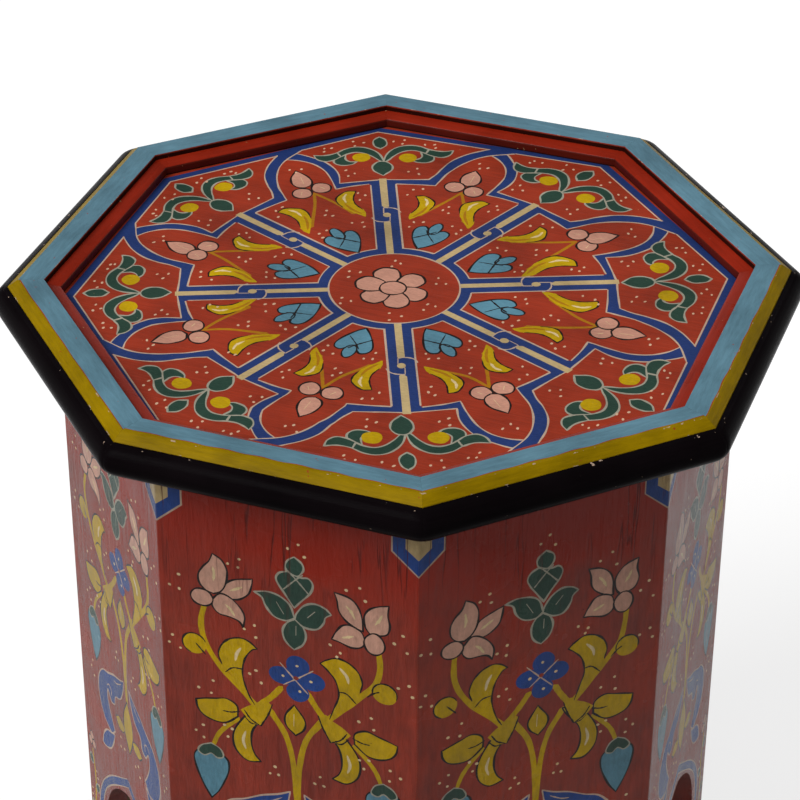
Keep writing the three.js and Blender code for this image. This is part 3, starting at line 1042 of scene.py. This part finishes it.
def paint_material(name, rgb, look, steps):
    """Brushed paint over wood: streaks, worn specks, uneven gloss, a fine relief and, on panels, cracks and a
    painted shade of the red ground under the rim.
    """
    nodes = Nodes(name)
    place = nodes.add("ShaderNodeTexCoord").outputs["Object"]
    streaks = noise(nodes, grained(nodes, look["stretch"], steps), 1.0, 7.0, 0.75)
    clouds = noise(nodes, place, 28.0, 3.0)
    level = rising(nodes, reckon(nodes, "ADD", streaks, clouds), *dark_to_light)
    light, dark = (tuple(min(1.0, c * (1 + way * look["patchy"])) for c in rgb) + (1.0,) for way in (1, -1))
    shade = blend(nodes, level, dark, light)
    fine = noise(nodes, place, look["specks"], 3.0)
    specks = rising(nodes, fine, look["worn"], look["worn"] + speck_edge, 0, speck_cover)
    shade = blend(nodes, specks, shade, colour(look["under"]) + (1.0,))
    height = streaks
    if look["cracked"]:
        # The zone under the rim, where the red ground is painted deeper as shade and cracks show more
        deep = under_rim(nodes, place, clouds)
        if rgb == colour("deep_red"):
            shade = blend(nodes, deep, shade, colour("fresh_red") + (1.0,))
        shown = reckon(nodes, "MULTIPLY_ADD", deep, cracks_under_rim, cracks_elsewhere)
        cracked = reckon(nodes, "MULTIPLY", cracks(nodes, place, steps), shown)
        shade = blend(nodes, cracked, shade, colour("crack_red") + (1.0,))
        swell = noise(nodes, grained(nodes, (60, 60, 14), steps), 1.0, 3.0)
        height = reckon(nodes, "ADD", reckon(nodes, "MULTIPLY", swell, swell_height), streaks)
        height = reckon(nodes, "SUBTRACT", height, reckon(nodes, "MULTIPLY", cracked, crack_depth))
    nodes.link(shade, "Base Color")
    roughness = rising(nodes, clouds, *gloss_clouds, look["rough"] - 0.06, look["rough"] + 0.08)
    nodes.link(roughness, "Roughness")
    bump = nodes.add("ShaderNodeBump", {"Height": height, "Strength": 1.0, "Distance": look["relief"]})
    nodes.link(bump.outputs["Normal"], "Normal")
    nodes.shader.inputs["Specular IOR Level"].default_value = look["shine"]
    return nodes.material


def as_look(stretch, rough, shine, patchy, relief, under, worn, specks, cracked=False):
    """How paint lies on one kind of surface."""
    return dict(stretch=stretch, rough=rough, shine=shine, patchy=patchy, relief=relief, under=under,
                worn=worn, specks=specks, cracked=cracked)


# How far the grain is drawn out each way, roughness, specular level, patchiness, relief in metres, what shows
# through where the paint is worn, how rare the worn specks are, and how small
looks = {
    "field": as_look((60, 1100, 1100), 0.42, 0.07, 0.34, 0.00016, "cream", 0.76, 420),
    "field_motif": as_look((400, 900, 900), 0.42, 0.07, 0.3, 0.00016, "cream", 0.76, 420),
    "panel": as_look((300, 300, 45), 0.23, 0.075, 0.34, 0.0017, "grime", 0.74, 300, cracked=True),
    "panel_motif": as_look((330, 330, 150), 0.23, 0.07, 0.3, 0.0014, "grime", 0.74, 300, cracked=True),
    "rim": as_look((480, 60, 480), 0.4, 0.03, 0.3, 0.0002, "red", 0.715, 230),
    # The pale specks on the rim's arrises are partly wear and partly painted glints
    "rim_edge": as_look((480, 60, 480), 0.4, 0.05, 0.3, 0.0002, "pale", 0.63, 210),
    "bead": as_look((420, 26, 420), 0.28, 0.08, 0.26, 0.00015, "cream", 0.74, 300),
    "bead_edge": as_look((420, 26, 420), 0.28, 0.08, 0.26, 0.00015, "cream", 0.69, 240),
    "nosing": as_look((300, 12, 500), 0.2, 0.006, 0.3, 0.0002, "pale", 0.74, 260),
    # The pale specks on the nosing's upper edge are partly wear and partly painted glints
    "nosing_edge": as_look((300, 12, 500), 0.25, 0.02, 0.3, 0.0002, "pale", 0.69, 260),
}
# The grounds, the surfaces whose motifs look unlike their ground, and the materials made so far
grounds = ("red", "deep_red")
drawn_on = ("field", "panel")
made_paints = {}


def painted(name, surface, steps=0):
    """The material of one paint on one kind of surface. Brush streaks follow the side of the octagon."""
    key = f"{surface}_{name}_{steps}" if steps else f"{surface}_{name}"
    if key not in made_paints:
        kind = surface if name in grounds or surface not in drawn_on else f"{surface}_motif"
        made_paints[key] = paint_material(key, colour(name), looks[kind], steps)
    return made_paints[key]


def marked(name, stretch, marks, dark, light, rough):
    """Nodes whose colour and gloss follow drawn-out marks, and the level of the marks.

    The dark and the light end each have their place in the marks and their colour.
    """
    nodes = Nodes(name)
    settings = {"Vector": grained(nodes, stretch), "Scale": 1.0, **marks}
    level = nodes.add("ShaderNodeTexNoise", settings).outputs["Fac"]
    ramp = nodes.add("ShaderNodeValToRGB", {"Fac": level})
    for element, (place, rgb) in zip(ramp.color_ramp.elements, (dark, light)):
        element.position = place
        element.color = (*rgb, 1)
    nodes.link(ramp.outputs["Color"], "Base Color")
    nodes.link(rising(nodes, level, 0, 1, *rough), "Roughness")
    return nodes, level


def bare_wood(name, rgb, stretch):
    """Sawn softwood: growth rings drawn out along the grain, and fine pores."""
    rings = {"Detail": 6.0, "Roughness": 0.65, "Distortion": 0.6}
    dark = tuple(c * 0.55 for c in rgb)
    nodes, level = marked(name, stretch, rings, (0.35, dark), (0.62, rgb), (0.65, 0.9))
    bump = nodes.add("ShaderNodeBump", {"Height": level, "Strength": 1.0, "Distance": 0.0003})
    nodes.link(bump.outputs["Normal"], "Normal")
    return nodes.material


def plain_steel():
    """Screw steel with fine turning marks."""
    dark, light = (0, (0.20, 0.19, 0.18)), (1, (0.48, 0.47, 0.45))
    nodes, _ = marked("screw_steel", (300, 300, 2400), {"Detail": 3.0}, dark, light, (0.25, 0.5))
    nodes.shader.inputs["Metallic"].default_value = 1.0
    return nodes.material


# Pieces

# How near two corners are joined, in metres, and how near counts as touching, in millimetres
weld_distance = 0.000002
touching = 0.05
# The upright part of its normal from which a face counts as level
level_face = 0.9


def new_piece(name, verts, faces, kinds, material_of, node):
    """A mesh that stands for one node of the frame. Each face has its kind, and each kind its material."""
    mesh = bpy.data.meshes.new(name)
    mesh.from_pydata([tuple(v) for v in verts], [], [tuple(f) for f in faces])
    used = list(dict.fromkeys(kinds))
    for kind in used:
        mesh.materials.append(material_of(kind))
    mesh.polygons.foreach_set("material_index", [used.index(kind) for kind in kinds])
    mesh.validate()
    mesh.update()
    piece = bpy.data.objects.new(name, mesh)
    bpy.context.scene.collection.objects.link(piece)
    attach(piece, "root")
    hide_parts(node)
    weld(mesh)
    return piece


def weld(mesh):
    """Joins shared corners and turns every face outwards."""
    bm = bmesh.new()
    bm.from_mesh(mesh)
    bmesh.ops.remove_doubles(bm, verts=bm.verts, dist=weld_distance)
    bmesh.ops.recalc_face_normals(bm, faces=bm.faces)
    bm.to_mesh(mesh)
    bm.free()
    mesh.update()


def turned(points, number):
    """Points drawn facing +X, turned to the side with this number and brought to metres."""
    spin = Matrix.Rotation((number - 1) * turn, 3, "Z")
    return [spin @ Vector(p) * mm for p in points]


def border_of(faces):
    """The corners round a sheet of faces, in order."""
    edges = {}
    for face in faces:
        for pair in zip(face, [*face[1:], face[0]]):
            edges[pair] = True
    follows = {a: b for a, b in edges if (b, a) not in edges}
    start = next(iter(follows))
    ring = [start]
    while follows[ring[-1]] != start:
        ring.append(follows[ring[-1]])
    return ring


def make_board():
    """The top board: the frame's own board with its upper face divided by the painting."""
    spots, corners, names = divide(octagon(board_flat), field_sheet().layers, "red")
    source = bpy.data.objects["top_board"].data
    verts = [tuple(v.co) for v in source.vertices]
    faces, kinds = [], []
    for face in source.polygons:
        if face.normal.z > level_face and face.center.z > (field_height - touching) * mm:
            continue
        faces.append(tuple(face.vertices))
        kinds.append("wood" if face.normal.z < -level_face else "red")
    first = len(verts)
    verts.extend((x * mm, y * mm, field_height * mm) for x, y in spots)
    faces.extend(tuple(first + i for i in tri) for tri in corners.tolist())
    kinds.extend(names)
    new_piece("painted_board", verts, faces, kinds,
              lambda kind: board_underside if kind == "wood" else painted(kind, "field"),
              "top_board")


# A panel: rounding of its corners, gap at the joints, and how far out its sides keep their width inside
corner_round = 1.6
corner_facets = 3
joint_line = 0.02
sides_keep_within = 45.0


def panel_outline():
    """The outline of the first packed panel's outer face, as points across and up."""
    mesh = bpy.data.objects["side_panel_1"].data
    flat = [v.co / mm for v in mesh.vertices]
    faces = [
        [(round(flat[i].y, 2), round(flat[i].z, 2)) for i in face.vertices]
        for face in mesh.polygons
        if all(abs(flat[i].x - panel_outer_flat) < touching for i in face.vertices)
    ]
    ring = border_of(faces)
    first = ring.index(min(ring))
    return np.array(ring[first:] + ring[:first])


def make_panel(number, loop):
    """A side panel: painted face, softened corners, arch reveal and bare wood behind."""
    half_width = panel_outer_flat * mitre_slope - joint_line
    inner_half = panel_inner_flat * mitre_slope - joint_line
    tangent = corner_round * math.tan(turn / 2)
    shape = loop.copy()
    at_edge = abs(shape[:, 0]) > abs(loop[:, 0]).max() - touching
    shape[at_edge, 0] = np.sign(shape[at_edge, 0]) * half_width
    bends = []
    for facet in range(corner_facets):
        x = half_width - tangent * (1 - facet / corner_facets)
        bends += [np.array([(side * x, -1), (side * x, panel_top + 1)]) for side in (-1, 1)]
    spots, corners, names = divide(shape, panel_sheet(number, half_width).layers, "deep_red", bends)

    def front(x, z):
        share = max(0.0, (abs(x) - half_width + tangent) / tangent)
        angle = share * turn / 2
        y = min(abs(x), half_width - tangent) + (corner_round * math.sin(angle) if share else 0)
        return (panel_outer_flat - corner_round * (1 - math.cos(angle)), math.copysign(y, x), z)

    def back(x, z):
        beyond = max(0.0, abs(x) - sides_keep_within)
        drawn_in = beyond * (inner_half - sides_keep_within) / (half_width - sides_keep_within)
        y = min(abs(x), sides_keep_within) + drawn_in
        return (panel_inner_flat, math.copysign(y, x), z)

    faces, kinds = corners.tolist(), list(names)
    ring = border_of(faces)
    points = [front(x, z) for x, z in spots]
    behind = {i: len(points) + n for n, i in enumerate(ring)}
    points += [back(*spots[i]) for i in ring]
    for a, b in zip(ring, ring[1:] + ring[:1]):
        faces.append((b, a, behind[a], behind[b]))
        on_mitre = min(abs(spots[a][0]), abs(spots[b][0])) > half_width - touching
        low, high = sorted((spots[a][1], spots[b][1]))
        kinds.append("wood" if on_mitre or high < touching or low > panel_top - touching else "deep_red")
    back_ring = np.array([points[behind[i]][1:] for i in ring])
    back_spots, back_corners, _ = divide(back_ring, [], "wood")
    spare = len(points)
    points += [(panel_inner_flat, x, z) for x, z in back_spots]
    faces += [tuple(spare + i for i in reversed(f)) for f in back_corners.tolist()]
    kinds += ["wood"] * len(back_corners)
    new_piece(f"painted_panel_{number}", turned(points, number), faces, kinds,
              lambda kind: panel_inside if kind == "wood" else painted(kind, "panel"),
              f"side_panel_{number}")


def rounded(section, radius_of):
    """A closed section with some corners rounded. Each point is (x, z, paint of the side after it).

    The radiuses go by the number of the corner. The paint on an arris, which is a small rounding, takes worn
    specks; on the rim the pale ones are partly wear and partly painted glints.
    """
    out = []
    count = len(section)
    for i, (x, z, kind) in enumerate(section):
        radius = radius_of.get(i, 0)
        if not radius:
            out.append((x, z, kind))
            continue
        here = np.array((x, z))
        before = np.array(section[i - 1][:2]) - here
        after = np.array(section[(i + 1) % count][:2]) - here
        before, after = before / np.linalg.norm(before), after / np.linalg.norm(after)
        for step in range(round_steps + 1):
            t = step / round_steps
            spot = here + radius * ((1 - t) ** 2 * before + t**2 * after)
            side = section[i - 1][2] if t < 0.5 else kind
            specked = 0 < step < round_steps - 1 and radius < bead_nose
            out.append((spot[0], spot[1], f"worn {side}" if specked else side))
    return out


def make_strip(surface, node, number, section, shares, waver, blunt):
    """A mitred strip along one side of the octagon, from its section and its places along the side.

    Waver says how far some of the section's points sway. A blunt strip's front is rounded off at the mitres.
    """
    dice = random.Random(f"painted_{surface}{number}")
    waves = [(dice.uniform(0.5, 9), dice.uniform(0, 7), dice.uniform(0.4, 1)) for _ in range(6)]
    points, faces, kinds = [], [], []
    count = len(section)
    setback = closed_mitre / 2 / math.cos(turn / 2)
    back = min(x for x, _, _ in section)
    reach = blunt * math.tan(turn / 2)
    for share in shares:
        sway = sum(size * math.sin(pace * math.pi * share + start) for pace, start, size in waves) / 3
        for i, (x, z, _) in enumerate(section):
            end = x * mitre_slope - setback
            y = share * end
            moved = x + waver.get(i, 0) * sway
            if blunt and x > back:
                moved -= max(0.0, reach - (end - abs(y)))**2 / (2 * blunt)
            y = math.copysign(min(abs(y), moved * mitre_slope - setback), y)
            points.append((moved, y, z))
    for station in range(len(shares) - 1):
        a, b = station * count, (station + 1) * count
        for i, (_, _, kind) in enumerate(section):
            j = (i + 1) % count
            faces.append((a + i, a + j, b + j, b + i))
            kinds.append(kind)
    faces += [tuple(range(count))[::-1], tuple(range(len(points) - count, len(points)))]
    kinds += [section[0][2]] * 2

    def material_of(kind):
        *worn, paint = kind.split()
        return painted(paint, f"{surface}_edge" if worn else surface, (number - 1) % 4)

    piece = new_piece(f"painted_{surface}_{number}", turned(points, number), faces, kinds, material_of,
                      f"{node}_{number}")
    piece.data.shade_smooth()
    piece.data.set_sharp_from_angle(angle=smooth_below)


# Mouldings of the top, facets of a rounding, gap at the mitres, and angle up to which faces are shaded smooth
bevel_run = 5.2
bevel_drop = 4.0
bead_drop = 3.0
bead_fall = 1.6
bead_nose = 1.4
arris = 0.45
# Height of red left at the top of the rim's inner wall, above its painted shade
red_above_wall_shade = 0.9
bead_foot = 0.6
round_steps = 4
nosing_steps = 20
nosing_blunt = 11.0
closed_mitre = 0.03
smooth_below = math.radians(32)
# How far the mustard comes in over the flat band on some sides, and the line of undercoat that it leaves
mustard_reach = {6: 0.6, 7: 1.6, 8: 1.5, 1: 0.4}
brush_gap = 0.35
# Places along a strip, as shares of its half length
straight_shares = [i / 24 for i in range(-24, 25)]
end_shares = [0.86, 0.885, 0.91, 0.93, 0.945, 0.96, 0.97, 0.98, 0.99, 1.0]
blunt_shares = [-s for s in end_shares[::-1]] + [-0.5, 0.0, 0.5] + end_shares


def rim_section(reach):
    """The section of a rim strip, and which of its points waver with the brush.

    The reach is how far the mustard paint comes in over the flat band, up to a thin line of red undercoat.
    """
    bevel_foot = stool_height - bevel_drop
    band_outer = board_flat - bevel_run
    edge = band_outer - reach
    plain = [
        # Painted shade: the inner wall is near black below a thin red top, where it drops to the bead
        (band_inner_flat, strip_seat, "grime"),
        (band_inner_flat, stool_height - red_above_wall_shade, "deep_red"),
        (band_inner_flat, stool_height, "rim_blue"),
        (edge - brush_gap, stool_height, "red"),
        (edge, stool_height, "mustard"),
        (band_outer, stool_height, "mustard"),
        (board_flat, bevel_foot, "mustard"),
        (board_flat, strip_seat, "red"),
    ]
    if not reach:
        del plain[3:5]
        return rounded(plain, {2: arris, 3: arris, 4: arris}), {}
    section = rounded(plain, {2: arris, 5: min(reach, 2 * arris) * 0.98, 6: arris})
    waver = {}
    for i, (x, z, _) in enumerate(section):
        if abs(x - edge + brush_gap) < 0.01:
            waver[i] = 0.4
        elif abs(x - edge) < 0.01:
            waver[i] = 0.25
    return section, waver


def bead_section():
    """The section of a bead: a wall painted darker towards its foot as shade, a rounded nose and a slope up
    to the rim.
    """
    ledge = stool_height - bead_drop
    nose = ledge - bead_fall
    plain = [
        # Painted shade: a near-black foot, then a darker red up the wall to the nose
        (bead_inner_flat, strip_seat, "grime"),
        (bead_inner_flat, strip_seat + bead_foot, "bead_shade"),
        (bead_inner_flat, nose, "bead_red"),
        (bead_outer_flat, ledge, "bead_red"),
        (bead_outer_flat, strip_seat, "bead_red"),
    ]
    return rounded(plain, {2: bead_nose, 3: arris})


def nosing_section():
    """The section of a nosing: an arc from its upper edge to its lower one, worn near the top, where its pale
    specks are partly wear and partly painted glints.
    """
    half = (nosing_top - nosing_bottom) / 2
    bulge = nosing_front_flat - nosing_back_flat
    radius = (half**2 + bulge**2) / (2 * bulge)
    centre = nosing_front_flat - radius
    spread = math.atan2(half, nosing_back_flat - centre)
    out = []
    for step in range(nosing_steps + 1):
        a = spread - 2 * spread * step / nosing_steps
        kind = "worn nosing_black" if step < 2 else "nosing_black"
        out.append((centre + radius * math.cos(a), nosing_bottom + half + radius * math.sin(a), kind))
    return out


board_underside = bare_wood("board_underside", (0.46, 0.31, 0.17), (60, 900, 900))
panel_inside = bare_wood("panel_inside", (0.46, 0.31, 0.17), (700, 700, 40))
block_wood = bare_wood("block_wood", (0.50, 0.35, 0.20), (900, 900, 60))
cleat_wood = bare_wood("cleat_wood", (0.44, 0.30, 0.17), (240, 240, 900))
steel = plain_steel()

make_board()
panel_loop = panel_outline()
for number in range(1, side_count + 1):
    make_panel(number, panel_loop)
    rim, waver = rim_section(mustard_reach.get(number, 0))
    make_strip("rim", "rim_strip", number, rim, straight_shares, waver, 0.0)
    make_strip("bead", "rim_bead", number, bead_section(), straight_shares, {}, 0.0)
    make_strip("nosing", "edge_nosing", number, nosing_section(), blunt_shares, {}, nosing_blunt)
    for node, material in (("corner_block", block_wood), ("top_cleat", cleat_wood), ("cleat_screw", steel)):
        data = bpy.data.objects[f"{node}_{number}"].data
        for i in range(len(data.materials)):
            data.materials[i] = material


# Stage: floor, light and camera

def seen_rays(tree):
    """One for rays from the camera, from reflections and through clear things, and nothing for soft light."""
    path = tree.nodes.new("ShaderNodeLightPath")
    total = path.outputs["Is Camera Ray"]
    for name in ("Is Glossy Ray", "Is Transmission Ray"):
        either = tree.nodes.new("ShaderNodeMath")
        either.operation = "MAXIMUM"
        tree.links.new(total, either.inputs[0])
        tree.links.new(path.outputs[name], either.inputs[1])
        total = either.outputs[0]
    return total


def make_floor():
    """A pale floor, white to the eye, that keeps the stool's shadow."""
    size, glow = 12.0, 0.7
    mesh = bpy.data.meshes.new("floor")
    corners = [(-size, -size, 0), (size, -size, 0), (size, size, 0), (-size, size, 0)]
    mesh.from_pydata(corners, [], [(0, 1, 2, 3)])
    floor = bpy.data.objects.new("floor", mesh)
    bpy.context.scene.collection.objects.link(floor)
    nodes = Nodes("floor_paper")
    seen = seen_rays(nodes.tree)
    seen_grey, lighting_grey = (0.36, 0.36, 0.36, 1), (0.29, 0.28, 0.27, 1)
    nodes.link(blend(nodes, seen, lighting_grey, seen_grey), "Base Color")
    nodes.link(reckon(nodes, "MULTIPLY", seen, glow), "Emission Strength")
    plain = {"Emission Color": (1, 1, 1, 1), "Roughness": 0.9, "Specular IOR Level": 0.0}
    for name, value in plain.items():
        nodes.shader.inputs[name].default_value = value
    mesh.materials.append(nodes.material)


def make_world():
    """A white backdrop under a dim ceiling as it is seen, and a soft light that comes mostly from above."""
    world = bpy.data.worlds.new("studio")
    bpy.context.scene.world = world
    world.use_nodes = True
    tree = world.node_tree
    tree.nodes.clear()
    place = tree.nodes.new("ShaderNodeTexCoord")
    split = tree.nodes.new("ShaderNodeSeparateXYZ")
    tree.links.new(place.outputs["Generated"], split.inputs[0])

    def background(heights, levels):
        fade = tree.nodes.new("ShaderNodeMapRange")
        for key, value in zip(("From Min", "From Max", "To Min", "To Max"), (*heights, *levels)):
            fade.inputs[key].default_value = value
        tree.links.new(split.outputs["Z"], fade.inputs["Value"])
        node = tree.nodes.new("ShaderNodeBackground")
        tree.links.new(fade.outputs["Result"], node.inputs["Strength"])
        node.inputs["Color"].default_value = (1, 1, 1, 1)
        return node

    mix = tree.nodes.new("ShaderNodeMixShader")
    tree.links.new(seen_rays(tree), mix.inputs[0])
    lighting = background(heights=(0.0, 1.0), levels=(0.08, 0.64))
    seen = background(heights=(0.22, 0.4), levels=(1.0, 0.12))
    tree.links.new(lighting.outputs[0], mix.inputs[1])
    tree.links.new(seen.outputs[0], mix.inputs[2])
    out = tree.nodes.new("ShaderNodeOutputWorld")
    tree.links.new(mix.outputs[0], out.inputs[0])


def make_lamp(name, azimuth, elevation, spread, strength):
    """An even soft light from one direction, in degrees."""
    light = bpy.data.lights.new(name, "SUN")
    light.angle = math.radians(spread)
    light.energy = strength
    lamp = bpy.data.objects.new(name, light)
    azimuth, elevation = math.radians(azimuth), math.radians(elevation)
    level = math.cos(elevation)
    toward = Vector((math.cos(azimuth) * level, math.sin(azimuth) * level, math.sin(elevation)))
    lamp.location = toward * 3
    lamp.rotation_mode = "QUATERNION"
    lamp.rotation_quaternion = toward.to_track_quat("Z", "Y")
    bpy.context.scene.collection.objects.link(lamp)


def make_camera():
    """The photograph's view: turned 19.6 degrees, from 33.6 degrees up, with a long lens."""
    azimuth, elevation, roll = (math.radians(a) for a in (19.645, 33.598, 0.324))
    distance, across, up_shift = 1.5218, -0.00092, -0.06697
    focal_pixels, picture_pixels = 2909.14, 800
    slant = math.cos(elevation)
    back = Vector((math.sin(azimuth) * slant, -math.cos(azimuth) * slant, math.sin(elevation)))
    level = Vector((math.cos(azimuth), math.sin(azimuth), 0))
    upward = back.cross(level)
    right = math.cos(roll) * level + math.sin(roll) * upward
    up = -math.sin(roll) * level + math.cos(roll) * upward
    data = bpy.data.cameras.new("photo_camera")
    camera = bpy.data.objects.new("photo_camera", data)
    bpy.context.scene.collection.objects.link(camera)
    data.sensor_width = 36
    data.lens = focal_pixels / picture_pixels * data.sensor_width
    grid = Matrix((right, up, back)).transposed().to_4x4()
    top_middle = Vector((0, 0, stool_height * mm))
    grid.translation = top_middle + back * distance + right * across + up * up_shift
    camera.matrix_world = grid
    data.clip_start, data.clip_end = 0.05, 100
    bpy.context.scene.camera = camera


make_floor()
make_world()
make_lamp("key", azimuth=-125, elevation=44, spread=34, strength=2.4)
make_lamp("fill", azimuth=35, elevation=24, spread=40, strength=0.12)
make_camera()
bpy.context.scene.view_settings.view_transform = "Standard"
